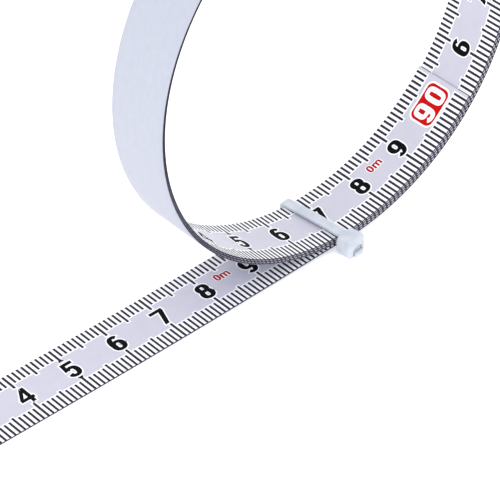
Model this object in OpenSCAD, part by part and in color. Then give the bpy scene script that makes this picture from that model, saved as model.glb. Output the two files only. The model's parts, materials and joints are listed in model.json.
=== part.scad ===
// Self-adhesive steel bench tape, coiled about three turns and held by a small cable tie.
// X runs along the straight tail and equals the scale reading there, Y runs across the
// tape and Z is up. The origin is the zero end, mid-width, on the liner's underside.
// The printed side of the steel faces up on the tail and inwards on the coil.

/* [Tape] */
// Width of the tape
tape_w = 12.7; // [8:0.1:25]
// Length of the tape, which is the reading at its inner end
tape_len = 905; // [720:1:1150]
// Thickness of the steel blade with its enamel
blade_t = 0.12; // [0.08:0.01:0.2]
// Thickness of the adhesive behind the blade
glue_t = 0.08; // [0.04:0.01:0.15]
// Thickness of the release liner that covers the adhesive
liner_t = 0.08; // [0.05:0.01:0.15]

/* [Coil] */
// Outside diameter of the coil
coil_d = 82.2; // [66:0.1:110]
// Reading at which the tape reaches the coil, beside the tie
tail_len = 108.5; // [95:0.5:160]
// Slope of the tape where it reaches the coil, in degrees
lead_angle = 2.4; // [2:0.1:4]
// Clear gap between neighbouring turns
turn_gap = 0.02; // [0.01:0.01:0.1]
// Sideways step from each turn to the next one inside it
turn_drift = 0.17; // [0:0.01:0.8]
// Flat facets in one full turn
turn_facets = 96; // [72:12:144]

/* [Cable tie] */
// Width of the tie's strap
tie_w = 2.0; // [1.6:0.1:4]
// Thickness of the tie's strap
tie_t = 0.8; // [0.65:0.05:1.5]
// Turn of the tie's loop away from square across the tape, in degrees
tie_skew = 5.5; // [0:0.5:15]
// Distance of the tie from where the tape reaches the coil, back along the tape
tie_back = 2.4; // [0:0.1:2.5]
// Inside radius of the strap's corners
tie_bend = 0.3; // [0.2:0.05:0.5]
// Pitch of the strap's teeth
tooth_pitch = 0.85; // [0.6:0.05:1.2]
// Depth of the strap's teeth
tooth_h = 0.18; // [0.12:0.02:0.3]
// Length of the head along its slot
head_t = 3.4; // [2.9:0.1:5]
// Cheek of the head on each side of the strap
head_cheek = 1.25; // [0.8:0.05:1.5]
// Height of the head above the strap's root
head_cap = 0.45; // [0.45:0.05:1.5]
// Length of cut strap left standing out of the head
stub_len = 0.35; // [0:0.05:3]

/* [Fits] */
// Gap between the coil's outside and the strap
gap_outside = 0.05; // [0.03:0.01:0.2]
// Gap between the coil's inside and the strap
gap_inside = 0.3; // [0.28:0.01:0.5]
// Gap between the coil's edges and the strap
gap_side = 0.1; // [0.05:0.01:0.5]
// Gap between the coil's edge and the head
gap_head = 0.12; // [0.05:0.01:0.5]
// Wall of the head under the strap
head_floor = 0.35; // [0.3:0.05:0.6]
// Running gap inside the head
head_gap = 0.03; // [0.02:0.01:0.06]

/* [Hidden] */

enamel = "#d8d7e8";
glue = "#c9c4b0";
paper = "#eef0f6";
nylon = "#dfe6ea";

// Layer faces, measured from the middle of the steel towards its printed side.
blade_top = blade_t / 2;
blade_back = -blade_t / 2;
glue_back = blade_back - glue_t;
liner_back = glue_back - liner_t;

// Coil: a spiral that loses one pitch of radius in each turn.
tape_t = blade_t + glue_t + liner_t;
turn_pitch = tape_t + turn_gap;
coil_r = coil_d / 2 + liner_back;
pitch_per_rad = turn_pitch / (2 * PI);
coil_len = tape_len - tail_len;
coil_deg = (coil_r - sqrt(coil_r * coil_r - 2 * pitch_per_rad * coil_len)) / pitch_per_rad * 180 / PI;
whole_turns = floor(coil_deg / 360);
facet = 360 / turn_facets;

// Bundle of turns that the tie goes round.
bundle_h = tape_t + whole_turns * turn_pitch;
bundle_w = tape_w + whole_turns * turn_drift;
bundle_mid = whole_turns * turn_drift / 2;

// Inside of the tie's loop, in its own frame: across is Y, and 0 up is the coil's outside.
loop_half = bundle_w / 2 / cos(tie_skew) + tie_w / 2 * tan(tie_skew) + gap_side;
loop_low = -gap_outside;
loop_high = bundle_h + gap_inside;

// Tie head: the strap's cut end passes through its slot, the strap's root meets its inner face.
head_w = tie_w + 2 * head_cheek;
head_in = -(bundle_w / 2 / cos(tie_skew) + head_w / 2 * tan(tie_skew) + gap_head);
head_out = head_in - head_t;
strap_low = loop_low - tie_t;
strap_top = loop_low;
strap_mid = loop_low - tie_t / 2;
head_low = strap_low - head_gap - head_floor;
head_h = loop_high + tie_t + head_cap - head_low;

// The tie passes under the coil, so the coil stands off the bench by the strap or the head.
strap_reach = tie_w / 2 * cos(tie_skew) + loop_half * sin(tie_skew) + tie_back;
head_reach = head_w / 2 * cos(tie_skew) + head_in * sin(tie_skew) + tie_back;
coil_z = max((coil_d / 2 - strap_low) * cos(lead_angle) + strap_reach * sin(lead_angle),
    (coil_d / 2 - head_low) * cos(lead_angle) + head_reach * sin(lead_angle));

// Lead-in: one large arc that lifts the tape from the bench to the coil.
mid_z = -liner_back;
lead_rise = coil_z - coil_r * cos(lead_angle) - mid_z;
lead_r = lead_rise / (1 - cos(lead_angle));
lead_len = lead_r * lead_angle * PI / 180;
flat_len = tail_len - lead_len;
coil_x = flat_len + (lead_r - coil_r) * sin(lead_angle);
// The tail flexes from here, a little past the middle of the lead-in.
flex_angle = 0.55 * lead_angle;
lead_steps = 6;

corner_steps = 6;

// Pawl: a toothed tongue on a small knuckle, over the strap in the head.
knuckle_r = 0.3;
pawl_t = 0.46;
pawl_lift = 0.36;
pawl_side = 0.12;
knuckle_y = head_in - 0.6;
knuckle_z = strap_top + head_gap + knuckle_r + 0.02;
pawl_low = strap_top + 0.04;
pawl_tip = head_out + 0.3;
chamber_top = pawl_low + pawl_t + pawl_lift;
first_tooth = head_out + 0.45;

// Corner `i` of the faceted coil, `off` towards the printed side.
function coil_corner(i, off) =
    let (a = i * facet, r = coil_r - turn_pitch * a / 360 - off)
    [coil_x + r * sin(lead_angle + a), coil_z - r * cos(lead_angle + a)];

// Point on the coil's facets `a` degrees past its start, so that every turn's facets are parallel.
function coil_point(a, off) =
    let (i = floor(a / facet), q = a / facet - i)
    (1 - q) * coil_corner(i, off) + q * coil_corner(i + 1, off);

// Point on the lead-in where the tape slopes by `f` degrees.
function lead_point(f, off) =
    [flat_len + (lead_r - off) * sin(f), mid_z + lead_r - (lead_r - off) * cos(f)];

// Slopes along the lead-in from `from` up to, but not including, `to`.
function lead_slopes(from, to) = [for (i = [0:lead_steps - 1]) from + (to - from) * i / lead_steps];

// Angles at the facets of turn `n`.
function turn_angles(n) =
    let (from = 360 * n, to = min(360 * (n + 1), coil_deg), count = ceil((to - from) / facet - 0.001))
    concat([for (i = [0:count - 1]) from + i * facet], [to]);

function reversed(points) = [for (i = [len(points) - 1:-1:0]) points[i]];

// Rectangle w by h about the origin with corners of radius r.
function round_rect(w, h, r) = [
    for (corner = [[1, 1, 0], [-1, 1, 90], [-1, -1, 180], [1, -1, 270]])
        for (i = [0:corner_steps])
            let (a = corner[2] + 90 * i / corner_steps)
            [corner[0] * (w / 2 - r) + r * cos(a), corner[1] * (h / 2 - r) + r * sin(a)]
];

// Extrudes a shape drawn in X and Z across the tape's width.
module across() {
    rotate([90, 0, 0])
        linear_extrude(height = tape_w, center = true)
            children();
}

// Layer between two faces on the lead-in's end and the outermost turn.
module layer_outer_turn(low, high) {
    slopes = lead_slopes(flex_angle, lead_angle);
    angles = turn_angles(0);
    low_side = concat([for (f = slopes) lead_point(f, low)], [for (a = angles) coil_point(a, low)]);
    high_side = concat([for (f = slopes) lead_point(f, high)], [for (a = angles) coil_point(a, high)]);
    across()
        polygon(concat(low_side, reversed(high_side)));
}

// Layer between two faces on turn `n`, stepped sideways from the turn outside it.
module layer_turn(n, low, high) {
    angles = turn_angles(n);
    low_side = [for (a = angles) coil_point(a, low)];
    high_side = [for (a = angles) coil_point(a, high)];
    translate([0, n * turn_drift, 0])
        across()
            polygon(concat(low_side, reversed(high_side)));
}

module layer_coil(low, high) {
    union() {
        layer_outer_turn(low, high);
        for (n = [1:whole_turns])
            layer_turn(n, low, high);
    }
}

// Layer on the straight tail and the first part of the lead-in.
module layer_tail(low, high) {
    slopes = concat(lead_slopes(0, flex_angle), [flex_angle]);
    low_side = concat([[0, mid_z + low]], [for (f = slopes) lead_point(f, low)]);
    high_side = concat([[0, mid_z + high]], [for (f = slopes) lead_point(f, high)]);
    across()
        polygon(concat(low_side, reversed(high_side)));
}

module blade_coil() {
    color(enamel)
        layer_coil(blade_back, blade_top);
}

module blade_tail() {
    color(enamel)
        layer_tail(blade_back, blade_top);
}

module adhesive_coil() {
    color(glue)
        layer_coil(glue_back, blade_back);
}

module adhesive_tail() {
    color(glue)
        layer_tail(glue_back, blade_back);
}

module liner_coil() {
    color(paper)
        layer_coil(liner_back, glue_back);
}

module liner_tail() {
    color(paper)
        layer_tail(liner_back, glue_back);
}

// Places a shape in the tie's frame: X along the tape, Y across it, Z towards the coil's axis.
module at_tie() {
    translate([coil_x, 0, coil_z])
        rotate([0, -lead_angle, 0])
            translate([-tie_back, bundle_mid, -coil_d / 2])
                rotate([0, 0, tie_skew])
                    children();
}

// Extrudes a shape drawn across and up along the tape, centred on the tie.
module along_tape(w) {
    rotate([90, 0, 90])
        linear_extrude(height = w, center = true)
            children();
}

// Stations on the middle of the strap are [across, up, heading].
// This one is round a far corner whose centre is at height `z`.
function corner_station(z, heading) =
    let (r = tie_bend + tie_t / 2)
    [loop_half - tie_bend + r * sin(heading), z - r * cos(heading), heading];

strap_stations = concat(
    [[head_out - stub_len, strap_mid, 0]],
    [for (i = [0:corner_steps]) corner_station(loop_low + tie_bend, 90 * i / corner_steps)],
    [for (i = [0:corner_steps]) corner_station(loop_high - tie_bend, 90 + 90 * i / corner_steps)],
    [[head_in, loop_high + tie_t / 2, 180]]
);

function strap_side(off) =
    [for (s = strap_stations) [s[0] - off * sin(s[2]), s[1] + off * cos(s[2])]];

// Notch between two teeth: upright towards the cut end, sloping the other way.
module tooth_notch(y, top) {
    translate([y, top])
        polygon([[0, 0.1], [0, -tooth_h], [0.8 * tooth_pitch, 0], [0.8 * tooth_pitch, 0.1]]);
}

module strap_notches() {
    in_head = floor((head_in - first_tooth) / tooth_pitch);
    for (i = [0:in_head - 1])
        tooth_notch(first_tooth + i * tooth_pitch, strap_top);
    under_start = -loop_half + 0.2;
    under_coil = floor((loop_half - tie_bend - under_start) / tooth_pitch);
    for (i = [0:under_coil - 1])
        tooth_notch(under_start + i * tooth_pitch, strap_top);
}

module tie_strap() {
    color(nylon)
        at_tie()
            along_tape(tie_w)
                difference() {
                    polygon(concat(strap_side(tie_t / 2), reversed(strap_side(-tie_t / 2))));
                    strap_notches();
                }
}

// Block with every edge rounded, as the overlap of three rounded bars.
module head_block() {
    intersection() {
        rotate([90, 0, 0])
            linear_extrude(height = head_t, center = true)
                polygon(round_rect(head_w, head_h, 0.75));
        rotate([90, 0, 90])
            linear_extrude(height = head_w, center = true)
                polygon(round_rect(head_t, head_h, 0.45));
        linear_extrude(height = head_h, center = true)
            polygon(round_rect(head_w, head_t, 0.6));
    }
}

// Room for the strap and the pawl, drawn across and up.
module head_room() {
    translate([head_out - 1, strap_low - head_gap])
        square([head_t + 2, tie_t + 2 * head_gap]);
    translate([head_out - 1, strap_top])
        square([knuckle_y - head_out + 1, chamber_top - strap_top]);
    translate([knuckle_y, knuckle_z])
        circle(r = knuckle_r + head_gap, $fn = 48);
}

module tie_head() {
    color(nylon)
        at_tie()
            difference() {
                translate([0, (head_in + head_out) / 2, head_low + head_h / 2])
                    head_block();
                along_tape(tie_w + 2 * pawl_side)
                    head_room();
            }
}

// One tooth of the pawl, standing in a notch of the strap.
module pawl_tooth(y) {
    clear = 0.04;
    depth = tooth_h - 0.06;
    slope_len = depth * 0.8 * tooth_pitch / tooth_h;
    translate([y + clear, strap_top])
        polygon([[0, 0.1], [0, -depth], [slope_len, 0], [slope_len, 0.1]]);
}

module tie_pawl() {
    color(nylon)
        at_tie()
            along_tape(tie_w - 2 * pawl_side) {
                translate([pawl_tip, pawl_low])
                    square([knuckle_y - pawl_tip, pawl_t]);
                translate([knuckle_y, knuckle_z])
                    circle(r = knuckle_r, $fn = 48);
                for (i = [0:1])
                    pawl_tooth(first_tooth + i * tooth_pitch);
            }
}

blade_coil();
blade_tail();
adhesive_coil();
adhesive_tail();
liner_coil();
liner_tail();
tie_strap();
tie_head();
tie_pawl();
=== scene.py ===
"""A self-adhesive bench tape, coiled and held by a small cable tie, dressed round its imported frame."""

import json
import logging
import math
from collections.abc import Iterable, Sequence
from dataclasses import dataclass, field
from enum import Enum

import bmesh
import bpy
import numpy as np
from mathutils import Matrix, Vector


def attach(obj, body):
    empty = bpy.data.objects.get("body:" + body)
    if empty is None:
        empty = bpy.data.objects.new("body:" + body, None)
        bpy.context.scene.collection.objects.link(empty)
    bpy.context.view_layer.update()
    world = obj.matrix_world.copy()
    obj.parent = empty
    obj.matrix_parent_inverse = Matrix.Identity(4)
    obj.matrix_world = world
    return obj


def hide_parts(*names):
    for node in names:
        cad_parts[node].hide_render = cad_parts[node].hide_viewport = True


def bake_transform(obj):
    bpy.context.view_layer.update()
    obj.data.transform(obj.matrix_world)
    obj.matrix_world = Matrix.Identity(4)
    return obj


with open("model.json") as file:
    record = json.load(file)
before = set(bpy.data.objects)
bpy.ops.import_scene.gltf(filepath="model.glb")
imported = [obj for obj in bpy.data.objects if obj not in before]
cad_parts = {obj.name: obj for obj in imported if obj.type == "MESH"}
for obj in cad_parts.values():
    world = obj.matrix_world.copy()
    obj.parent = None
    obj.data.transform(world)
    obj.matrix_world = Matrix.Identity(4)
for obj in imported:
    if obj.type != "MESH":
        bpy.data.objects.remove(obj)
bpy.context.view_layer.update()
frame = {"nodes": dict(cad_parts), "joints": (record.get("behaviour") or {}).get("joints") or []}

LOG = logging.getLogger("bench_tape")
MM = 0.001
TURN = 2 * math.pi
Array = np.ndarray


class Body(Enum):
    """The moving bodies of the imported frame."""

    COIL = "coil"
    TAIL = "tail"
    TIE = "tie"
    PAWL = "pawl"


class Slot(Enum):
    """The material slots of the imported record."""

    ENAMEL = "enamelled_steel"
    ADHESIVE = "adhesive"
    LINER = "liner"
    NYLON = "nylon"


class Side(Enum):
    """The two long edges of the tape, by the sign of their offset across it."""

    FAR = 1
    NEAR = -1


# ---------------------------------------------------------------------------
# Mesh helpers
# ---------------------------------------------------------------------------


def tube_faces(stations: int, around: int, start: int = 0) -> tuple[Array, list[list[int]]]:
    """Faces of a tube whose rings are `around` points each, closed by a cap at either end.

    Ring i, point j is vertex start + i * around + j. Side quads run point, next point, next ring.

    Args:
        stations: Number of rings along the tube.
        around: Number of points in each ring, anticlockwise seen from the tube's far end.
        start: Number of the first vertex.

    Returns:
        The side quads as an array, and the two caps as lists of vertex numbers.
    """
    ring, point = np.meshgrid(np.arange(stations - 1), np.arange(around), indexing="ij")
    following = (point + 1) % around
    quads = np.stack(
        [ring * around + point, ring * around + following,
         (ring + 1) * around + following, (ring + 1) * around + point], axis=-1,
    ).reshape(-1, 4) + start
    first = list(range(start + around - 1, start - 1, -1))
    last = list(range(start + (stations - 1) * around, start + stations * around))
    return quads, [first, last]


def rounded_rectangle(half_a: float, half_b: float, radius: float, corner: int, side: int) -> Array:
    """Anticlockwise points of a rectangle with round corners, starting at the middle of side +a.

    Each side is divided evenly into `side` steps and each corner's quarter circle into `corner`.

    Args:
        half_a: Half the size along the first axis.
        half_b: Half the size along the second axis.
        radius: Radius of the corners.
        corner: Steps in each corner.
        side: Steps along each straight side.

    Returns:
        Points as an (n, 2) array, the same count for any sizes.
    """
    quarter = np.linspace(0, math.pi / 2, corner + 1)
    centres = [(half_a - radius, half_b - radius), (radius - half_a, half_b - radius),
               (radius - half_a, radius - half_b), (half_a - radius, radius - half_b)]
    corners = [
        np.stack([x + radius * np.cos(quarter + k * math.pi / 2),
                  y + radius * np.sin(quarter + k * math.pi / 2)], axis=-1)
        for k, (x, y) in enumerate(centres)
    ]
    share = np.linspace(0, 1, side + 1)[1:-1, None]
    runs = []
    for k in range(4):
        runs.append(corners[k])
        after = corners[(k + 1) % 4][0]
        runs.append(corners[k][-1] * (1 - share) + after * share)
    return np.concatenate(runs)


def mesh_object(name: str, points: Array, faces: Sequence[Sequence[int]], smooth_angle: float = 40.0,
                face_out: bool = False) -> bpy.types.Object:
    """A new object at the origin from points in the frame.

    Args:
        name: Name of the object and its mesh.
        points: Vertex places as an (n, 3) array, in metres.
        faces: Vertex numbers of each face.
        smooth_angle: Edges that bend less than this many degrees are shaded smooth.
        face_out: Whether the faces are turned outwards afterwards.

    Returns:
        The linked object.
    """
    mesh = bpy.data.meshes.new(name)
    mesh.from_pydata(points.tolist(), [], faces)
    if face_out:
        work = bmesh.new()
        work.from_mesh(mesh)
        bmesh.ops.recalc_face_normals(work, faces=work.faces)
        work.to_mesh(mesh)
        work.free()
    mesh.polygons.foreach_set("use_smooth", np.ones(len(mesh.polygons), bool))
    mesh.set_sharp_from_angle(angle=math.radians(smooth_angle))
    mesh.update()
    made = bpy.data.objects.new(name, mesh)
    bpy.context.scene.collection.objects.link(made)
    return made


def dress(piece: bpy.types.Object, slot: Slot, *materials: bpy.types.Material) -> None:
    """Gives a new piece its materials.

    Args:
        piece: The new piece.
        slot: The record's slot that the materials belong to; not used.
        materials: One material for each material number of its faces.
    """
    for material in materials:
        piece.data.materials.append(material)


def report(piece: bpy.types.Object) -> None:
    """Logs a finished piece and its number of faces."""
    LOG.info("%s: %d faces", piece.name, len(piece.data.polygons))


# ---------------------------------------------------------------------------
# Finishes
# ---------------------------------------------------------------------------


@dataclass(frozen=True)
class Finish:
    """A surface with two close tones, a mottled roughness and a fine relief.

    The scales are those of the noises, the spans are the part of a noise that is spread over the
    two tones or the two roughnesses, and glow is white light that the surface gives off.
    """

    name: str
    light: tuple[float, float, float]
    dark: tuple[float, float, float]
    tone_scale: float
    relief_scale: float
    relief: float
    roughness: tuple[float, float]
    stretch: tuple[float, float, float] = (1.0, 1.0, 1.0)
    uses_uv: bool = False
    specular: float = 0.5
    coat: float = 0.0
    coat_roughness: float = 0.15
    subsurface: float = 0.0
    subsurface_depth: float = 0.0
    glow: float = 0.0
    tone_span: tuple[float, float] = (0.35, 0.65)
    patch_span: tuple[float, float] = (0.3, 0.7)
    patch_finer: float = 2.3
    relief_depth: float = 0.02 * MM

    def build(self) -> bpy.types.Material:
        """Makes the material.

        One noise mixes the two tones, a second sets the roughness between its limits and a third,
        finer one is the relief. All read the piece's Object coordinates, or its UV map for a
        pattern that follows the tape.

        Returns:
            The new material.
        """
        material = bpy.data.materials.new(self.name)
        material.use_nodes = True
        tree = material.node_tree
        shader = tree.nodes["Principled BSDF"]
        shader.inputs["Specular IOR Level"].default_value = self.specular
        shader.inputs["Coat Weight"].default_value = self.coat
        shader.inputs["Coat Roughness"].default_value = self.coat_roughness
        shader.inputs["Subsurface Weight"].default_value = self.subsurface
        shader.inputs["Subsurface Radius"].default_value = (1.0, 1.0, 1.0)
        shader.inputs["Subsurface Scale"].default_value = self.subsurface_depth
        shader.inputs["Emission Color"].default_value = (1.0, 1.0, 1.0, 1.0)
        shader.inputs["Emission Strength"].default_value = self.glow

        place = tree.nodes.new("ShaderNodeTexCoord")
        mapping = tree.nodes.new("ShaderNodeMapping")
        mapping.inputs["Scale"].default_value = self.stretch
        tree.links.new(place.outputs["UV" if self.uses_uv else "Object"], mapping.inputs["Vector"])

        tone = self.noise(tree, mapping, self.tone_scale, 3.0)
        ramp = tree.nodes.new("ShaderNodeValToRGB")
        ramp.color_ramp.elements[0].position = self.tone_span[0]
        ramp.color_ramp.elements[0].color = (*self.dark, 1.0)
        ramp.color_ramp.elements[1].position = self.tone_span[1]
        ramp.color_ramp.elements[1].color = (*self.light, 1.0)
        tree.links.new(tone.outputs["Fac"], ramp.inputs["Fac"])
        tree.links.new(ramp.outputs["Color"], shader.inputs["Base Color"])

        patch = self.noise(tree, mapping, self.tone_scale * self.patch_finer, 2.0)
        spread = tree.nodes.new("ShaderNodeMapRange")
        spread.inputs["From Min"].default_value = self.patch_span[0]
        spread.inputs["From Max"].default_value = self.patch_span[1]
        spread.inputs["To Min"].default_value = self.roughness[0]
        spread.inputs["To Max"].default_value = self.roughness[1]
        tree.links.new(patch.outputs["Fac"], spread.inputs["Value"])
        tree.links.new(spread.outputs["Result"], shader.inputs["Roughness"])

        grain = self.noise(tree, mapping, self.relief_scale, 2.0)
        bump = tree.nodes.new("ShaderNodeBump")
        bump.inputs["Strength"].default_value = self.relief
        bump.inputs["Distance"].default_value = self.relief_depth
        tree.links.new(grain.outputs["Fac"], bump.inputs["Height"])
        tree.links.new(bump.outputs["Normal"], shader.inputs["Normal"])
        return material

    @staticmethod
    def noise(tree: bpy.types.NodeTree, mapping: bpy.types.Node, scale: float,
              detail: float) -> bpy.types.Node:
        """A noise texture on the mapped coordinates.

        Args:
            tree: The material's nodes.
            mapping: The node that gives the coordinates.
            scale: Scale of the noise.
            detail: Its detail.

        Returns:
            The noise's node.
        """
        made = tree.nodes.new("ShaderNodeTexNoise")
        made.inputs["Scale"].default_value = scale
        made.inputs["Detail"].default_value = detail
        tree.links.new(mapping.outputs["Vector"], made.inputs["Vector"])
        return made


ENAMEL = Finish("satin_enamel", (0.555, 0.553, 0.648), (0.535, 0.533, 0.632),
                450, 5000, 0.12, (0.36, 0.46))
# Painted shade: the bare steel's slit edge is coloured near black, standing in for the shade on the
# tape's edges.
SHADED_STEEL_EDGE = Finish("slit_steel_edge", (0.035, 0.028, 0.055), (0.018, 0.014, 0.030),
                    900, 6000, 0.3, (0.45, 0.6), specular=0.2)
# Painted shade: the adhesive is a translucent film, coloured near black here because it only shows at
# the tape's shaded edges.
SHADED_GLUE = Finish("adhesive_film", (0.07, 0.065, 0.09), (0.045, 0.04, 0.06),
              700, 5000, 0.3, (0.5, 0.7), specular=0.2)
LINER = Finish("release_liner", (0.485, 0.51, 0.60), (0.465, 0.49, 0.585),
               900, 4500, 0.18, (0.42, 0.55), stretch=(0.7, 1.0, 1.0), uses_uv=True)
# Painted shade: the white liner's cut edge is coloured dark grey, standing in for the shade on the
# tape's edges.
SHADED_LINER_EDGE = Finish("cut_liner_edge", (0.20, 0.195, 0.26), (0.13, 0.125, 0.18),
                    900, 5000, 0.3, (0.5, 0.7), specular=0.2)
BLACK_INK = Finish("black_ink", (0.0025, 0.0025, 0.004), (0.001, 0.001, 0.002),
                   1400, 6000, 0.1, (0.5, 0.65), specular=0.06)
TICK_INK = Finish("tick_ink", (0.034, 0.030, 0.045), (0.022, 0.019, 0.031),
                  1400, 6000, 0.1, (0.5, 0.65), specular=0.1)
RED_INK = Finish("red_ink", (0.56, 0.004, 0.003), (0.50, 0.003, 0.002),
                 1200, 6000, 0.1, (0.45, 0.6), specular=0.06)
DARK_RED_INK = Finish("dark_red_ink", (0.42, 0.010, 0.018), (0.34, 0.007, 0.012),
                      1200, 6000, 0.1, (0.45, 0.6), specular=0.06)
WHITE_INK = Finish("white_ink", (0.93, 0.94, 0.98), (0.89, 0.90, 0.95),
                   1200, 6000, 0.1, (0.4, 0.5))
PALE_INK = Finish("pale_ink", (0.74, 0.80, 0.86), (0.70, 0.77, 0.83),
                  1200, 6000, 0.1, (0.4, 0.5))
NYLON = Finish("natural_nylon", (0.58, 0.62, 0.68), (0.50, 0.545, 0.62),
               500, 2500, 0.25, (0.28, 0.42), coat=0.15, subsurface=0.75, subsurface_depth=0.9 * MM)
BENCH = Finish("white_bench", (0.97, 0.97, 0.97), (0.95, 0.95, 0.95),
               3, 40, 0.02, (0.75, 0.85), specular=0.1, glow=0.3)


# ---------------------------------------------------------------------------
# The path of the tape
# ---------------------------------------------------------------------------


@dataclass(frozen=True)
class TapePath:
    """Where the tape runs: flat on the bench, up a long shallow arc, then round a spiral coil."""

    centre_z: float
    length: float = 905 * MM
    tail_length: float = 108.5 * MM
    width: float = 12.7 * MM
    coil_radius: float = 40.88 * MM
    turn_pitch: float = 0.30 * MM
    turn_drift: float = 0.17 * MM
    mid_height: float = 0.22 * MM
    lead_angle: float = math.radians(2.4)
    step: float = 0.8 * MM

    @property
    def lead_radius(self) -> float:
        """Radius of the arc that lifts the tape from the bench to the coil."""
        rise = self.centre_z - self.coil_radius * math.cos(self.lead_angle) - self.mid_height
        return rise / (1 - math.cos(self.lead_angle))

    @property
    def flat_length(self) -> float:
        """Reading at which the tape leaves the bench."""
        return self.tail_length - self.lead_radius * self.lead_angle

    @property
    def centre_x(self) -> float:
        """Place of the coil's axis along the bench."""
        return self.flat_length + (self.lead_radius - self.coil_radius) * math.sin(self.lead_angle)

    def turned(self, reading: Array) -> Array:
        """Angle round the coil at a reading, from where the coil starts.

        The spiral loses k of radius in each radian, so run = R a - k a^2 / 2, solved for a.

        Args:
            reading: Distances along the tape from its zero end.

        Returns:
            Angles in radians, 0 before the coil.
        """
        k = self.turn_pitch / TURN
        run = np.clip(reading - self.tail_length, 0, None)
        return (self.coil_radius - np.sqrt(self.coil_radius**2 - 2 * k * run)) / k

    def place(self, reading: Array, across: Array, lift: Array) -> Array:
        """Points in the frame for points given on the tape.

        On the flat the point is (reading, across, mid height + lift). On the arc and the coil it
        is turned about their centres by the slope there, at a radius less by the lift. The coil
        also steps sideways evenly, by one drift in each turn.

        Args:
            reading: Distances along the tape from its zero end.
            across: Offsets across the tape from its middle.
            lift: Heights over the middle of the steel, towards the printed side.

        Returns:
            The points as an array with a last axis of 3.
        """
        reading, across, lift = np.broadcast_arrays(reading, across, lift)
        slope = np.clip((reading - self.flat_length) / self.lead_radius, 0, self.lead_angle)
        x = np.minimum(reading, self.flat_length) + (self.lead_radius - lift) * np.sin(slope)
        z = self.mid_height + self.lead_radius - (self.lead_radius - lift) * np.cos(slope)
        turned = self.turned(reading)
        radius = self.coil_radius - self.turn_pitch / TURN * turned - lift
        heading = self.lead_angle + turned
        coiled = reading > self.tail_length
        x = np.where(coiled, self.centre_x + radius * np.sin(heading), x)
        z = np.where(coiled, self.centre_z - radius * np.cos(heading), z)
        return np.stack([x, across + self.turn_drift * turned / TURN, z], axis=-1)

    def stations(self, start: float, stop: float) -> Array:
        """Readings of evenly spaced stations between two readings."""
        return np.linspace(start, stop, int(math.ceil((stop - start) / self.step)) + 1)


# ---------------------------------------------------------------------------
# The tape's three layers
# ---------------------------------------------------------------------------


@dataclass
class Layer:
    """One layer of the tape, from the back of it to its face, over the whole length.

    Its long edges are broken over `bare` across the tape and `bevel` in height.
    """

    name: str
    low: float
    high: float
    slot: Slot
    face: Finish
    edge: Finish
    inset: float = 0.0
    bevel: float = 0.02 * MM
    bare: float = 0.02 * MM
    rows: int = 6

    def section(self, path: TapePath) -> tuple[Array, Array]:
        """The layer's outline across the tape: a thin rectangle with its four edges broken.

        Args:
            path: The tape's path, for its width.

        Returns:
            Offsets across and lifts, anticlockwise seen from further along the tape.
        """
        half = path.width / 2 - self.inset
        across = np.linspace(-half + self.bare, half - self.bare, self.rows + 1)
        y = np.concatenate([across, [half, half], across[::-1], [-half, -half]])
        z = np.concatenate([
            np.full(self.rows + 1, self.low), [self.low + self.bevel, self.high - self.bevel],
            np.full(self.rows + 1, self.high), [self.high - self.bevel, self.low + self.bevel]])
        return y, z

    def build(self, path: TapePath, start: float, stop: float, name: str) -> bpy.types.Object:
        """Sweeps the outline along the path between two readings.

        Args:
            path: The tape's path.
            start: Reading at the first end.
            stop: Reading at the last end.
            name: Name of the piece.

        Returns:
            The closed strip, with a UV map in metres along and across the tape. Its faces take
            material 0, and its two edges and two ends material 1.
        """
        y, z = self.section(path)
        readings = path.stations(start, stop)
        points = path.place(readings[:, None], y[None, :], z[None, :]).reshape(-1, 3)
        quads, caps = tube_faces(len(readings), len(y))
        strip = mesh_object(name, points, [*quads.tolist(), *caps])
        side = np.tile(np.arange(len(y)), len(readings) - 1)
        first_edge, second_edge = self.rows, 2 * self.rows + 3
        on_edge = ((side >= first_edge) & (side <= first_edge + 2)) | (side >= second_edge)
        index = np.concatenate([on_edge.astype(np.int32), np.ones(2, np.int32)])
        strip.data.polygons.foreach_set("material_index", index)
        self.lay_uv(strip.data, np.repeat(readings, len(y)), np.tile(y, len(readings)))
        return strip

    @staticmethod
    def lay_uv(mesh: bpy.types.Mesh, along: Array, across: Array) -> None:
        """Writes a UV map in metres along and across the tape.

        Args:
            mesh: The strip's mesh.
            along: Each vertex's reading.
            across: Each vertex's offset across the tape.
        """
        corners = np.zeros(len(mesh.loops), np.int32)
        mesh.loops.foreach_get("vertex_index", corners)
        uv = np.stack([along[corners], across[corners]], axis=-1).astype(np.float32)
        mesh.uv_layers.new(name="tape").data.foreach_set("uv", uv.ravel())


# ---------------------------------------------------------------------------
# Numerals, drawn as flat strokes
# ---------------------------------------------------------------------------


@dataclass(frozen=True)
class Stroke:
    """A flat ribbon between a left and a right side, given by matching points."""

    left: Array
    right: Array

    def turned(self) -> "Stroke":
        """The stroke turned half way round."""
        return Stroke(-self.left, -self.right)

    def grown(self, margin: float) -> "Stroke":
        """The stroke widened on both sides, and lengthened at both ends, by a margin.

        Args:
            margin: Width of the border that it gains.

        Returns:
            The larger stroke.
        """
        across = self.left - self.right
        across = across / np.linalg.norm(across, axis=1, keepdims=True)
        left, right = self.left + across * margin, self.right - across * margin
        along = (self.left + self.right)[[1, -1]] - (self.left + self.right)[[0, -2]]
        along = along / np.linalg.norm(along, axis=1, keepdims=True) * margin
        for side in (left, right):
            side[0] -= along[0]
            side[-1] += along[1]
        return Stroke(left, right)


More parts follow.
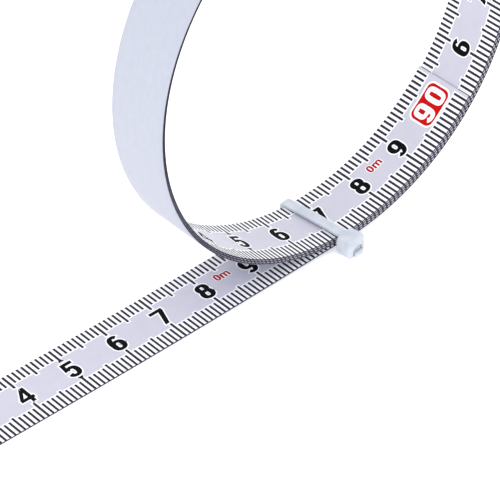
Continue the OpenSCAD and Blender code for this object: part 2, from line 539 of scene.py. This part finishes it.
@dataclass(frozen=True)
class Pen:
    """Draws the strokes of a wide, bold numeral in a box centred on the origin."""

    width: float = 2.8 * MM
    height: float = 4.05 * MM
    stem: float = 1.04 * MM
    bar: float = 0.72 * MM
    steps: int = 20
    squareness: float = 2.35

    @property
    def reach_x(self) -> float:
        """Furthest a stem's middle lies from the middle of the numeral."""
        return (self.width - self.stem) / 2

    @property
    def reach_y(self) -> float:
        """Furthest a bar's middle lies from the middle of the numeral."""
        return (self.height - self.bar) / 2

    def along(self, points: Array, closed: bool = False) -> Stroke:
        """A stroke along a line of points: a stem where it is upright and a bar where it is level.

        The half width is the length of the unit normal scaled by half a stem and half a bar.

        Args:
            points: Middle of the stroke, as an (n, 2) array.
            closed: Whether the line joins up, so that its ends share a normal.

        Returns:
            The stroke.
        """
        run = np.gradient(points, axis=0)
        if closed:
            run[0] = run[-1] = points[1] - points[-2]
        run = run / np.linalg.norm(run, axis=1, keepdims=True)
        normal = np.stack([-run[:, 1], run[:, 0]], axis=-1)
        half = np.hypot(normal[:, 0] * self.stem / 2, normal[:, 1] * self.bar / 2)[:, None]
        return Stroke(points + normal * half, points - normal * half)

    def arc(self, centre: tuple[float, float], radii: tuple[float, float], first: float,
            last: float) -> Stroke:
        """A stroke along part of an ellipse squared by the pen's squareness.

        Each point is the centre plus radii times cos and sin, raised to 2 / squareness.

        Args:
            centre: Centre, as shares of the two reaches.
            radii: Radii, as shares of the two reaches.
            first: First angle in degrees.
            last: Last angle in degrees.

        Returns:
            The stroke.
        """
        angle = np.radians(np.linspace(first, last, self.steps + 1))
        c, s = np.cos(angle), np.sin(angle)
        power = 2 / self.squareness
        shape = np.stack([np.sign(c) * np.abs(c) ** power * radii[0] + centre[0],
                          np.sign(s) * np.abs(s) ** power * radii[1] + centre[1]], axis=-1)
        return self.along(shape * (self.reach_x, self.reach_y), abs(last - first) >= 360)

    def block(self, corners: Iterable[tuple[float, float]], parts: int = 6) -> Stroke:
        """A straight stroke from its corners: left and right at its start, right and left at its end.

        Args:
            corners: The corners, as shares of half the width and half the height.
            parts: Pieces that the stroke is divided into.

        Returns:
            The stroke.
        """
        start_left, start_right, end_right, end_left = (
            np.array(c) * (self.width / 2, self.height / 2) for c in corners)
        share = np.linspace(0, 1, parts + 1)[:, None]
        return Stroke(start_left * (1 - share) + end_left * share,
                      start_right * (1 - share) + end_right * share)

    def level(self, left: float, right: float, top: float) -> Stroke:
        """A level bar between two sides, under a top, in shares of half the width and height."""
        low = top - 2 * self.bar / self.height
        return self.block([(left, top), (left, low), (right, low), (right, top)])

    def upright(self, left: float, low: float, high: float) -> Stroke:
        """An upright stem right of a side, in shares of half the width and height."""
        right = left + 2 * self.stem / self.width
        return self.block([(left, low), (right, low), (right, high), (left, high)], 4)

    def digit(self, which: str) -> list[Stroke]:
        """The strokes of one digit.

        Args:
            which: The digit, "0" to "9".

        Returns:
            Its strokes, overlapping where they join. A "9" is a "6" turned half way round.
        """
        bottom_bar = -1 + 2 * self.bar / self.height
        if which == "0":
            return [self.arc((0, 0), (1, 1), 0, 360)]
        if which == "1":
            return [self.upright(-0.12, -1, 1),
                    self.block([(-0.12, 0.52), (-0.12, 0.98), (-0.85, 0.66), (-0.85, 0.34)], 3)]
        if which == "2":
            neck = np.array([[0.98, 0.44], [0.93, 0.26], [0.72, 0.02], [0.3, -0.28], [-0.2, -0.56],
                             [-0.62, -0.8], [-0.95, -1.04]])
            return [self.arc((0, 0.47), (1, 0.53), 172, -8),
                    self.along(neck * (self.reach_x, self.reach_y)),
                    self.level(-1, 1, bottom_bar)]
        if which == "3":
            return [self.arc((-0.03, 0.53), (0.93, 0.47), 168, -92),
                    self.arc((0, -0.47), (1, 0.53), 92, -168)]
        if which == "4":
            return [self.block([(0.16, -1), (0.72, -1), (0.72, 1), (0.16, 1)]), self.level(-1, 1, -0.26),
                    self.block([(0.2, 0.44), (0.1, 1), (-1, -0.3), (-0.46, -0.3)])]
        if which == "5":
            return [self.level(-0.72, 0.86, 1),
                    self.block([(-0.22, 1), (-0.78, 1), (-0.94, -0.1), (-0.36, 0.0)], 4),
                    self.arc((0, -0.36), (1, 0.64), 150, -165)]
        if which == "6":
            return [self.arc((0, -0.38), (1, 0.62), 0, 360),
                    self.arc((0.02, 0), (1.02, 1), 48, 205)]
        if which == "7":
            return [self.level(-1, 1, 1),
                    self.block([(1, 0.72), (0.3, 0.72), (-0.52, -1), (0.1, -1)])]
        if which == "8":
            return [self.arc((0, 0.52), (0.9, 0.48), 0, 360),
                    self.arc((0, -0.45), (1, 0.55), 0, 360)]
        return [stroke.turned() for stroke in self.digit("6")]

    def letter_m(self) -> list[Stroke]:
        """The strokes of a small m that fills the pen's box: three stems under two arches.

        Returns:
            Its strokes.
        """
        half_stem = self.stem / self.width
        arch = [self.arc((x, 0.3), (0.5, 0.7), 180, 0) for x in (-0.5, 0.5)]
        return [self.upright(-1, -1, 1), self.upright(-half_stem, -1, 0.4),
                self.upright(1 - 2 * half_stem, -1, 0.4), *arch]


# ---------------------------------------------------------------------------
# Print on the tape
# ---------------------------------------------------------------------------


@dataclass
class PrintLayer:
    """Flat shapes of one ink, all of one thickness, gathered for one body.

    Strokes are cut lengthwise into strips, so that they bend with the tape, and each further
    stroke of a shape is a hair higher, so that no two tops coincide.
    """

    name: str
    finish: Finish
    top: float
    body: Body
    root: float = -0.003 * MM
    strips: int = 3
    stroke_rise: float = 0.0006 * MM
    points: list[Array] = field(default_factory=list)
    faces: list[list[int]] = field(default_factory=list)
    count: int = 0

    def add(self, rows: Array, lift: float = 0.0) -> None:
        """Adds closed slabs.

        Args:
            rows: Slabs as an (n, stations, m, 2) array: m points of each station from its right
                side to its left, each with its reading and its offset across.
            lift: Added to the height of their tops.
        """
        slabs, stations, parts = rows.shape[:3]
        low = np.concatenate([rows, np.full((*rows.shape[:3], 1), self.root)], axis=-1)
        high = np.concatenate([rows, np.full((*rows.shape[:3], 1), self.top + lift)], axis=-1)
        around = np.concatenate([low, high[:, :, ::-1]], axis=2)
        quads, caps = tube_faces(stations, 2 * parts)
        shift = np.arange(slabs)[:, None, None] * stations * 2 * parts + self.count
        self.points.append(around.reshape(-1, 3))
        self.faces.extend((quads[None] + shift).reshape(-1, 4).tolist())
        self.faces.extend((np.array(caps)[None] + shift).reshape(-1, 2 * parts).tolist())
        self.count += slabs * stations * 2 * parts

    def add_strokes(self, strokes: Iterable[Stroke], reading: float, across: float) -> None:
        """Adds strokes drawn about a point of the tape.

        Args:
            strokes: The strokes, in the order in which they rise.
            reading: The point's distance from the zero end.
            across: Its offset across the tape.
        """
        share = np.linspace(0, 1, self.strips + 1)[None, :, None]
        for k, stroke in enumerate(strokes):
            rows = stroke.right[:, None] * (1 - share) + stroke.left[:, None] * share
            self.add((rows + (reading, across))[None], k * self.stroke_rise)

    def build(self, path: TapePath, face: float) -> bpy.types.Object:
        """Lays the slabs on the tape.

        Args:
            path: The tape's path.
            face: Lift of the printed face over the middle of the steel.

        Returns:
            One object with every slab of this ink.
        """
        flat = np.concatenate(self.points)
        placed = path.place(flat[:, 0], flat[:, 1], flat[:, 2] + face)
        piece = mesh_object(f"{self.name}_{self.body.value}", placed, self.faces)
        dress(piece, Slot.ENAMEL, self.finish.build())
        return piece


@dataclass
class Scale:
    """The printed metric scale: ticks on both edges, digits, boxed tens and a small metre mark.

    A tick's three lengths are those of a millimetre, a half centimetre and a centimetre. A keyline
    is the white line round a shape, and lies under it.
    """

    join: float
    face: float = 0.06 * MM
    margin: float = 0.24 * MM
    tick_width: float = 0.46 * MM
    cm_width: float = 0.50 * MM
    edge_gap: float = 0.05 * MM
    far_lengths: tuple[float, float, float] = (2.55 * MM, 3.3 * MM, 3.58 * MM)
    near_lengths: tuple[float, float, float] = (3.1 * MM, 3.6 * MM, 4.17 * MM)
    ten_length: float = 3.0 * MM
    flare_width: float = 1.05 * MM
    flare_length: float = 0.62 * MM
    flare_foot: float = 0.08 * MM
    digit_across: float = 0.15 * MM
    box_size: tuple[float, float] = (7.5 * MM, 5.1 * MM)
    box_corner: float = 1.25 * MM
    box_margin: float = 0.36 * MM
    box_pitch: float = 3.66 * MM
    box_keyline: float = 0.2 * MM
    mark_after: float = 4.9 * MM
    mark_across: float = 1.45 * MM
    mark_zero: float = -1.0 * MM
    mark_letter: float = 0.62 * MM
    mark_keyline: float = 0.14 * MM
    digit_pen: Pen = Pen()
    box_pen: Pen = Pen(2.45 * MM, 4.0 * MM, 0.6 * MM, 0.42 * MM, 28, 3.4)
    zero_pen: Pen = Pen(1.15 * MM, 1.8 * MM, 0.42 * MM, 0.34 * MM, 12)
    m_pen: Pen = Pen(1.85 * MM, 1.3 * MM, 0.40 * MM, 0.34 * MM, 8)

    def layers(self, body: Body) -> dict[str, PrintLayer]:
        """Empty print layers for one body, from the lowest ink to the highest.

        Args:
            body: The body that the print rides on.

        Returns:
            The layers by name.
        """
        rows = [("keyline", WHITE_INK, 0.003), ("ticks", TICK_INK, 0.006),
                ("digits", BLACK_INK, 0.006), ("boxes", RED_INK, 0.006),
                ("metre_marks", DARK_RED_INK, 0.006), ("box_keyline", WHITE_INK, 0.009),
                ("box_numerals", PALE_INK, 0.012)]
        return {name: PrintLayer(name, finish, top * MM, body) for name, finish, top in rows}

    def tick_slabs(self, mm: Array, side: Side, path: TapePath, margin: float) -> Array:
        """Ticks as slabs of two stations that run in from the edge.

        Args:
            mm: The readings to mark, in whole millimetres.
            side: The edge that they start from.
            path: The tape's path.
            margin: How far each tick is grown, for the white line round it.

        Returns:
            Slabs for PrintLayer.add.
        """
        lengths = np.array(self.far_lengths if side is Side.FAR else self.near_lengths)
        rank = np.where(mm % 10 == 0, 2, np.where(mm % 5 == 0, 1, 0))
        length = np.where((mm % 100 == 0) & (mm > 0), self.ten_length, lengths[rank])
        half = np.where(rank == 2, self.cm_width, self.tick_width) / 2 + margin
        outer = side.value * np.full(len(mm), path.width / 2 - self.edge_gap)
        inner = side.value * (path.width / 2 - length - margin)
        ends = np.stack([mm * MM - half, mm * MM + half], axis=1)
        lines = [np.stack([ends, np.stack([y, y], axis=1)], axis=-1)
                 for y in (np.minimum(outer, inner), np.maximum(outer, inner))]
        return np.stack(lines, axis=2)

    def flares(self, side: Side, path: TapePath, margin: float) -> Stroke:
        """The small wedge that ends a tick beside a 5, about that reading.

        Its foot is a level line, and its other side slopes up from either end to the tick's width.

        Args:
            side: The edge that the tick starts from.
            path: The tape's path.
            margin: How far the wedge is grown, for the white line round it.

        Returns:
            The wedge as a stroke.
        """
        length = (self.far_lengths if side is Side.FAR else self.near_lengths)[2]
        tip = side.value * (path.width / 2 - length)
        half = self.flare_width / 2 + margin
        slim = self.cm_width / 2
        outer = tip + side.value * self.flare_length
        inner = tip - side.value * margin
        xs = np.array([-half, -slim, 0, slim, half])
        toe = inner + side.value * self.flare_foot
        ends = np.array([toe, outer, outer, outer, toe])
        base = np.full(5, inner)
        high, low = (ends, base) if side is Side.FAR else (base, ends)
        return Stroke(np.stack([xs, high], -1), np.stack([xs, low], -1))

    def box(self, grow: float) -> Stroke:
        """The rounded box behind a number of tens, grown by a margin.

        Its half height at x is the full half height, less the corner's drop near either end.

        Args:
            grow: The margin.

        Returns:
            The box as a stroke.
        """
        half_x, half_y = self.box_size[0] / 2 + grow, self.box_size[1] / 2 + grow
        radius = self.box_corner + grow
        bend = radius * (1 - np.cos(np.linspace(0, math.pi / 2, 9)))
        inner = np.linspace(-half_x + radius, half_x - radius, 12)[1:-1]
        x = np.concatenate([-half_x + bend, inner, (half_x - bend)[::-1]])
        depth = np.clip(np.abs(x) - (half_x - radius), 0, radius)
        y = half_y - radius + np.sqrt(np.maximum(radius**2 - depth**2, (0.06 * MM) ** 2))
        return Stroke(np.stack([x, y], -1), np.stack([x, -y], -1))

    def draw(self, path: TapePath) -> list[bpy.types.Object]:
        """Prints the whole scale.

        Args:
            path: The tape's path.

        Returns:
            One object for each ink on each body.
        """
        sets = {Body.TAIL: self.layers(Body.TAIL), Body.COIL: self.layers(Body.COIL)}
        mm = np.arange(1, int(path.length / MM))
        for body, layers in sets.items():
            ours = mm[(mm * MM < self.join) == (body is Body.TAIL)]
            for side in Side:
                layers["ticks"].add(self.tick_slabs(ours, side, path, 0.0))
                layers["keyline"].add(self.tick_slabs(ours, side, path, self.margin))
        for cm in range(1, int(path.length / MM / 10) + 1):
            reading = cm * 10 * MM
            layers = sets[Body.TAIL if reading < self.join else Body.COIL]
            if cm % 10:
                self.draw_digit(layers, str(cm % 10), reading, path)
            else:
                self.draw_box(layers, str(cm), reading)
            if cm % 10 == 8:
                self.draw_metre_mark(layers, reading + self.mark_after)
        return [layer.build(path, self.face) for layers in sets.values()
                for layer in layers.values() if layer.count]

    def draw_digit(self, layers: dict[str, PrintLayer], digit: str, reading: float,
                   path: TapePath) -> None:
        """Prints a black digit with its white line, and the wedges beside a 5.

        Args:
            layers: The print layers of the body that it is on.
            digit: The digit.
            reading: Its distance from the zero end.
            path: The tape's path.
        """
        strokes, across = self.digit_pen.digit(digit), self.digit_across
        layers["digits"].add_strokes(strokes, reading, across)
        layers["keyline"].add_strokes([s.grown(self.margin) for s in strokes], reading, across)
        if digit == "5":
            for side in Side:
                layers["digits"].add_strokes([self.flares(side, path, 0.0)], reading, 0.0)
                layers["keyline"].add_strokes([self.flares(side, path, self.margin)], reading, 0.0)

    def draw_box(self, layers: dict[str, PrintLayer], number: str, reading: float) -> None:
        """Prints a red box with a pale number in it.

        Args:
            layers: The print layers of the body that it is on.
            number: The number's digits.
            reading: Its distance from the zero end.
        """
        layers["keyline"].add_strokes([self.box(self.box_margin)], reading, 0.0)
        layers["boxes"].add_strokes([self.box(0.0)], reading, 0.0)
        for k, digit in enumerate(number):
            shift = (k - (len(number) - 1) / 2) * self.box_pitch
            strokes = self.box_pen.digit(digit)
            grown = [s.grown(self.box_keyline) for s in strokes]
            layers["box_keyline"].add_strokes(grown, reading + shift, 0.0)
            layers["box_numerals"].add_strokes(strokes, reading + shift, 0.0)

    def draw_metre_mark(self, layers: dict[str, PrintLayer], reading: float) -> None:
        """Prints the small red 0m, its two characters on one base line.

        Args:
            layers: The print layers of the body that it is on.
            reading: Distance of its middle from the zero end.
        """
        zero, letter = self.zero_pen.digit("0"), self.m_pen.letter_m()
        low = self.mark_across - (self.zero_pen.height - self.m_pen.height) / 2
        places = ((zero, self.mark_zero, self.mark_across), (letter, self.mark_letter, low))
        for name, grow in (("metre_marks", 0.0), ("keyline", self.mark_keyline)):
            for strokes, x, y in places:
                grown = [s.grown(grow) for s in strokes] if grow else strokes
                layers[name].add_strokes(grown, reading + x, y)


@dataclass
class Tape:
    """The tape itself: enamelled steel, adhesive, release liner and the printed scale.

    The part from the zero end to the join is the tail, baked in place where it lies. The rest rides on
    the coil.
    """

    path: TapePath
    join: float = 94.5 * MM
    bend_start: float = 90.5 * MM
    bend_end: float = 66.0 * MM
    # The blade's edge finish is painted shade: near black for the shade on its slit edges.
    blade: Layer = field(default_factory=lambda: Layer(
        "blade", -0.06 * MM, 0.06 * MM, Slot.ENAMEL, ENAMEL, SHADED_STEEL_EDGE,
        bevel=0.03 * MM, bare=0.05 * MM))
    # The adhesive's finish, on its faces and its edges, is painted shade.
    adhesive: Layer = field(default_factory=lambda: Layer(
        "adhesive", -0.14 * MM, -0.06 * MM, Slot.ADHESIVE, SHADED_GLUE, SHADED_GLUE, inset=0.03 * MM, bevel=0.01 * MM))
    # The liner's edge finish is painted shade: dark grey for the shade on its cut edges.
    liner: Layer = field(default_factory=lambda: Layer(
        "liner", -0.22 * MM, -0.14 * MM, Slot.LINER, LINER, SHADED_LINER_EDGE, bevel=0.015 * MM))

    def attach(self, piece: bpy.types.Object, body: Body) -> None:
        """Makes a piece of the tape ride on the coil, or bakes a tail piece in place.

        Args:
            piece: The piece.
            body: The coil, or the tail for a piece that stays in place.
        """
        if body is Body.COIL:
            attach(piece, body.value)
        else:
            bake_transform(piece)
        report(piece)

    def build(self) -> None:
        """Builds, dresses and attaches the three layers and the print."""
        for layer in (self.blade, self.adhesive, self.liner):
            materials = (layer.face.build(), layer.edge.build())
            for body, start, stop in ((Body.TAIL, 0.0, self.join),
                                      (Body.COIL, self.join, self.path.length)):
                strip = layer.build(self.path, start, stop, f"tape_{layer.name}_{body.value}")
                dress(strip, layer.slot, *materials)
                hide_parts(f"{layer.name}_{body.value}")
                self.attach(strip, body)
        for piece in Scale(self.join).draw(self.path):
            self.attach(piece, Body(piece.name.rsplit("_", 1)[1]))


# ---------------------------------------------------------------------------
# The cable tie
# ---------------------------------------------------------------------------


@dataclass
class CableTie:
    """The small nylon tie round the coil: its strap, its head, and the pawl inside it.

    Places are in the tie's own frame: x along the tape, y across it, z from the coil's outside
    towards its axis. The strap's loop runs along y, and the head is at its end with y below 0.
    """

    path: TapePath
    skew: float = math.radians(5.5)
    back: float = 2.4 * MM
    coil_outside: float = 41.1 * MM
    middle: float = 0.255 * MM
    strap_width: float = 2.0 * MM
    strap_thick: float = 0.8 * MM
    strap_corner: float = 0.24 * MM
    loop_half: float = 6.8318 * MM
    loop_low: float = -0.05 * MM
    loop_high: float = 1.48 * MM
    bend: float = 0.3 * MM
    stub: float = 0.35 * MM
    bow: float = 0.15 * MM
    tooth_pitch: float = 0.85 * MM
    tooth_depth: float = 0.18 * MM
    tooth_half: float = 0.68 * MM
    tooth_lead: float = 0.45 * MM
    tooth_nick: float = 0.01 * MM
    under_lead: float = 0.2 * MM
    tip: float = 0.06 * MM
    tip_thinning: float = 0.75
    root: float = 0.3 * MM
    head_in: float = -6.9722 * MM
    head_long: float = 3.4 * MM
    head_half: float = 2.25 * MM
    head_low: float = -1.23 * MM
    head_high: float = 2.73 * MM
    head_corner: float = 1.15 * MM
    inner_round: float = 0.45 * MM
    outer_round: float = 0.75 * MM
    outer_sink: float = 0.14 * MM
    slot_low: float = -0.88 * MM
    slot_high: float = 0.81 * MM
    slot_half: float = 1.12 * MM
    slot_corner: float = 0.1 * MM

    @property
    def head_out(self) -> float:
        """Place of the head's outer face."""
        return self.head_in - self.head_long

    def place(self, points: Array) -> Array:
        """Puts points of the tie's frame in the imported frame.

        They are turned by the skew, set under the coil, tilted by the lead angle and moved to the
        coil's axis.

        Args:
            points: The points, with a last axis of 3.

        Returns:
            The points in place.
        """
        matrix = np.array(
            Matrix.Translation((self.path.centre_x, 0, self.path.centre_z))
            @ Matrix.Rotation(-self.path.lead_angle, 4, "Y")
            @ Matrix.Translation((-self.back, self.middle, -self.coil_outside))
            @ Matrix.Rotation(self.skew, 4, "Z"))
        return points @ matrix[:3, :3].T + matrix[:3, 3]

    def strap_line(self) -> Array:
        """Middle of the strap as rows of across, up, heading and notch depth.

        From the cut end it runs level through the head and under the coil with its teeth up, turns
        round the far edge and comes back over the coil in a slight bow, highest in its middle.

        Returns:
            The stations as an (n, 4) array.
        """
        def notches(start: float, count: int, up: float) -> Array:
            """Rows of a level run of teeth: each falls sheer and rises evenly to the next.

            Args:
                start: Place across of the first tooth.
                count: Number of teeth.
                up: Height of the strap's middle.

            Returns:
                Three rows for each tooth.
            """
            y = start + self.tooth_pitch * np.arange(count)[:, None] + np.array(
                [-self.tooth_nick, self.tooth_nick, 0.8 * self.tooth_pitch])
            deep = np.broadcast_to([0.0, self.tooth_depth, 0.0], y.shape)
            return np.stack([y.ravel(), np.full(y.size, up), np.zeros(y.size), deep.ravel()], axis=-1)

        def rows(y: Array, z: Array, heading: Array) -> Array:
            """Rows of a plain run, without notches, from its places and headings."""
            y, z, heading = np.broadcast_arrays(y, z, heading)
            return np.stack([y, z, heading, np.zeros(y.shape)], axis=-1)

        low_mid, high_mid = self.loop_low - self.strap_thick / 2, self.loop_high + self.strap_thick / 2
        in_head = int((self.head_long - self.tooth_lead) / self.tooth_pitch)
        tips = self.head_out - self.stub + np.array([0.0, self.tip])
        under = -self.loop_half + self.under_lead
        under_count = int((self.loop_half - self.bend - under) / self.tooth_pitch)
        radius = self.bend + self.strap_thick / 2
        centre = self.loop_half - self.bend
        turn = np.linspace(0, math.pi / 2, 9)
        t = np.linspace(0, 1, 40)[1:]
        y_back = centre + (self.head_in - self.root - centre) * t
        z_back = high_mid + self.bow * np.sin(math.pi * t) ** 2
        slope = np.gradient(z_back, y_back)
        return np.concatenate([
            rows(tips, low_mid, 0.0),
            notches(self.head_out + self.tooth_lead, in_head, low_mid),
            notches(under, under_count, low_mid),
            rows(centre + radius * np.sin(turn), self.loop_low + self.bend - radius * np.cos(turn),
                 turn),
            rows(centre + radius * np.cos(turn), self.loop_high - self.bend + radius * np.sin(turn),
                 turn + math.pi / 2),
            rows(y_back, z_back, math.pi + np.arctan(slope)),
        ])

    def build_strap(self) -> bpy.types.Object:
        """Sweeps a rounded strap along its line, with the middle of its inner face cut to teeth.

        A point of the section at (n, x) goes to the line's point plus n along its inward normal.

        Returns:
            The strap, in place.
        """
        line = self.strap_line()
        section = rounded_rectangle(self.strap_thick / 2, self.strap_width / 2, self.strap_corner, 4, 6)
        n = section[None, :, 0] * np.ones((len(line), 1))
        x = section[None, :, 1] * np.ones((len(line), 1))
        toothed = (n > self.strap_thick / 2 - 0.02 * MM) & (np.abs(x) < self.tooth_half)
        n = n - np.where(toothed, line[:, 3:4], 0.0)
        end = np.array([self.tip_thinning, *np.ones(len(line) - 1)])[:, None]
        n, x = n * end, x * (0.1 * end + 0.9)
        heading = line[:, 2:3]
        points = np.stack([x, line[:, :1] - n * np.sin(heading),
                           line[:, 1:2] + n * np.cos(heading)], axis=-1)
        quads, caps = tube_faces(len(line), len(section))
        return mesh_object("tie_band", self.place(points.reshape(-1, 3)), [*quads.tolist(), *caps],
                           smooth_angle=50, face_out=True)

    def build_head(self) -> bpy.types.Object:
        """A rounded block with a slot through it, as one closed surface round the strap.

        Each ring runs round the strap. Rings go along the outside of the block, shrinking into its
        rounded ends, across the outer face, which is sunk a little inside a round rim, through the
        slot, and back across the inner face.

        Returns:
            The head, in place.
        """
        corner, side = 6, 6
        half_z, mid_z = (self.head_high - self.head_low) / 2, (self.head_high + self.head_low) / 2
        slot_half_z = (self.slot_high - self.slot_low) / 2
        slot_mid_z = (self.slot_high + self.slot_low) / 2
        blunt, edge, sink = self.inner_round, self.outer_round, self.outer_sink

        def outside(inset: float) -> Array:
            """A ring of the block's outside, shrunk by an inset."""
            ring = rounded_rectangle(self.head_half - inset, half_z - inset,
                                     self.head_corner - inset * 0.6, corner, side)
            return ring + (0, mid_z)

        slot_ring = rounded_rectangle(self.slot_half, slot_half_z, self.slot_corner, corner, side)
        slot_ring = slot_ring + (0, slot_mid_z)
        rings: list[tuple[Array, float]] = []
        bend = np.linspace(0, math.pi / 2, 8)
        for a in bend:
            rings.append((outside(blunt * (1 - math.sin(a))), self.head_in - blunt * (1 - math.cos(a))))
        for share in np.linspace(0, 1, 5)[1:-1]:
            rings.append((outside(0.0),
                          self.head_in - blunt - share * (self.head_long - blunt - edge)))
        for a in bend:
            rings.append((outside(edge * (1 - math.cos(a))), self.head_out + edge * (1 - math.sin(a))))
        lip = outside(edge)
        for share in np.linspace(0, 1, 12)[1:]:
            fall = min(1.0, share / 0.3)
            dip = sink * fall**2 * (3 - 2 * fall)
            rings.append((lip * (1 - share) + slot_ring * share, self.head_out + dip))
        for share in (0.04, 0.3, 0.7, 0.96):
            rings.append((slot_ring, self.head_out + sink + share * (self.head_long - sink)))
        inner = outside(blunt)
        for share in np.linspace(0, 1, 6)[:-1]:
            rings.append((slot_ring * (1 - share) + inner * share, self.head_in))
        points = np.stack([np.stack([ring[:, 0], np.full(len(ring), y), ring[:, 1]], axis=-1)
                           for ring, y in rings])
        count, around = points.shape[:2]
        i, j = np.meshgrid(np.arange(count), np.arange(around), indexing="ij")
        after, beside = (i + 1) % count, (j + 1) % around
        quads = np.stack([i * around + j, i * around + beside,
                          after * around + beside, after * around + j], axis=-1)
        return mesh_object("tie_housing", self.place(points.reshape(-1, 3)),
                           quads.reshape(-1, 4).tolist(), smooth_angle=60, face_out=True)

    def build(self) -> None:
        """Builds, dresses and attaches the strap and the head, and dresses the pawl."""
        nylon = NYLON.build()
        for piece, node in ((self.build_strap(), "tie_strap"), (self.build_head(), "tie_head")):
            dress(piece, Slot.NYLON, nylon)
            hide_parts(node)
            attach(piece, Body.TIE.value)
            report(piece)
        pawl = frame["nodes"]["tie_pawl"]
        pawl.data.materials.clear()
        pawl.data.materials.append(nylon)
        report(pawl)


# ---------------------------------------------------------------------------
# Floor, lights and camera
# ---------------------------------------------------------------------------


@dataclass(frozen=True)
class Lamp:
    """A soft round light: its place and its diameter in metres, and its power in watts."""

    name: str
    place: tuple[float, float, float]
    size: float
    power: float


@dataclass(frozen=True)
class Studio:
    """A white bench top under a soft even light, and the camera.

    The camera stands back from a point that lies along_right and along_up of the origin, as the
    camera sees it.
    """

    floor_size: float = 4.0
    floor_drop: float = 0.01 * MM
    ambient: float = 1.14
    lamps: tuple[Lamp, ...] = (Lamp("key", (-0.35, -0.25, 0.75), 0.7, 1.5),
                               Lamp("fill", (0.7, -0.5, 0.6), 0.8, 0.4))
    lamp_aim: tuple[float, float, float] = (0.09, 0.0, 0.03)
    azimuth: float = math.radians(-41.893)
    elevation: float = math.radians(39.098)
    lens: float = 199.92
    along_right: float = 67.272 * MM
    along_up: float = 41.5158 * MM
    distance: float = 442.82 * MM

    def build_floor(self) -> None:
        """A flat white floor just under the tape."""
        half = self.floor_size / 2
        corners = np.array([[-half, -half], [half, -half], [half, half], [-half, half]])
        corners = np.column_stack([corners, np.full(4, -self.floor_drop)])
        floor = mesh_object("bench_top", corners, [[0, 1, 2, 3]])
        floor.data.materials.append(BENCH.build())

    def build_lights(self) -> None:
        """An even white surround, a broad soft key from the upper left and a weaker fill."""
        world = bpy.data.worlds.new("studio")
        world.use_nodes = True
        world.node_tree.nodes["Background"].inputs["Color"].default_value = (1.0, 1.0, 1.0, 1.0)
        world.node_tree.nodes["Background"].inputs["Strength"].default_value = self.ambient
        bpy.context.scene.world = world
        for lamp in self.lamps:
            light = bpy.data.lights.new(lamp.name, "AREA")
            light.shape = "DISK"
            light.size = lamp.size
            light.energy = lamp.power
            placed = bpy.data.objects.new(lamp.name, light)
            placed.location = lamp.place
            placed.rotation_mode = "QUATERNION"
            aim = Vector(self.lamp_aim) - Vector(lamp.place)
            placed.rotation_quaternion = aim.to_track_quat("-Z", "Y")
            bpy.context.scene.collection.objects.link(placed)

    def build_camera(self) -> None:
        """A long lens that looks down over the tail into the coil."""
        sin_a, cos_a = math.sin(self.azimuth), math.cos(self.azimuth)
        sin_e, cos_e = math.sin(self.elevation), math.cos(self.elevation)
        back = Vector((sin_a * cos_e, -cos_a * cos_e, sin_e))
        right, up = Vector((cos_a, sin_a, 0)), Vector((-sin_e * sin_a, sin_e * cos_a, cos_e))
        data = bpy.data.cameras.new("camera")
        data.lens = self.lens
        data.sensor_width = 36.0
        data.clip_start, data.clip_end = 0.01, 20.0
        camera = bpy.data.objects.new("camera", data)
        turn = Matrix((right, up, back)).transposed()
        place = right * self.along_right + up * self.along_up + back * self.distance
        camera.matrix_world = Matrix.Translation(place) @ turn.to_4x4()
        bpy.context.scene.collection.objects.link(camera)
        bpy.context.scene.camera = camera

    def build(self) -> None:
        """Builds the floor, the lights and the camera."""
        self.build_floor()
        self.build_lights()
        self.build_camera()
        bpy.context.scene.view_settings.view_transform = "Standard"


def main() -> None:
    """Builds the tape, the tie and the studio, in that order."""
    logging.basicConfig(level=logging.INFO, format="%(message)s")
    axis = next(j for j in frame["joints"] if j["name"] == "tie_slide")["pos_m"]
    path = TapePath(centre_z=axis[2])
    LOG.info("coil axis at %.4f, frame's at %.4f", path.centre_x, axis[0])
    Tape(path).build()
    CableTie(path).build()
    Studio().build()


if __name__ == "__main__":
    main()
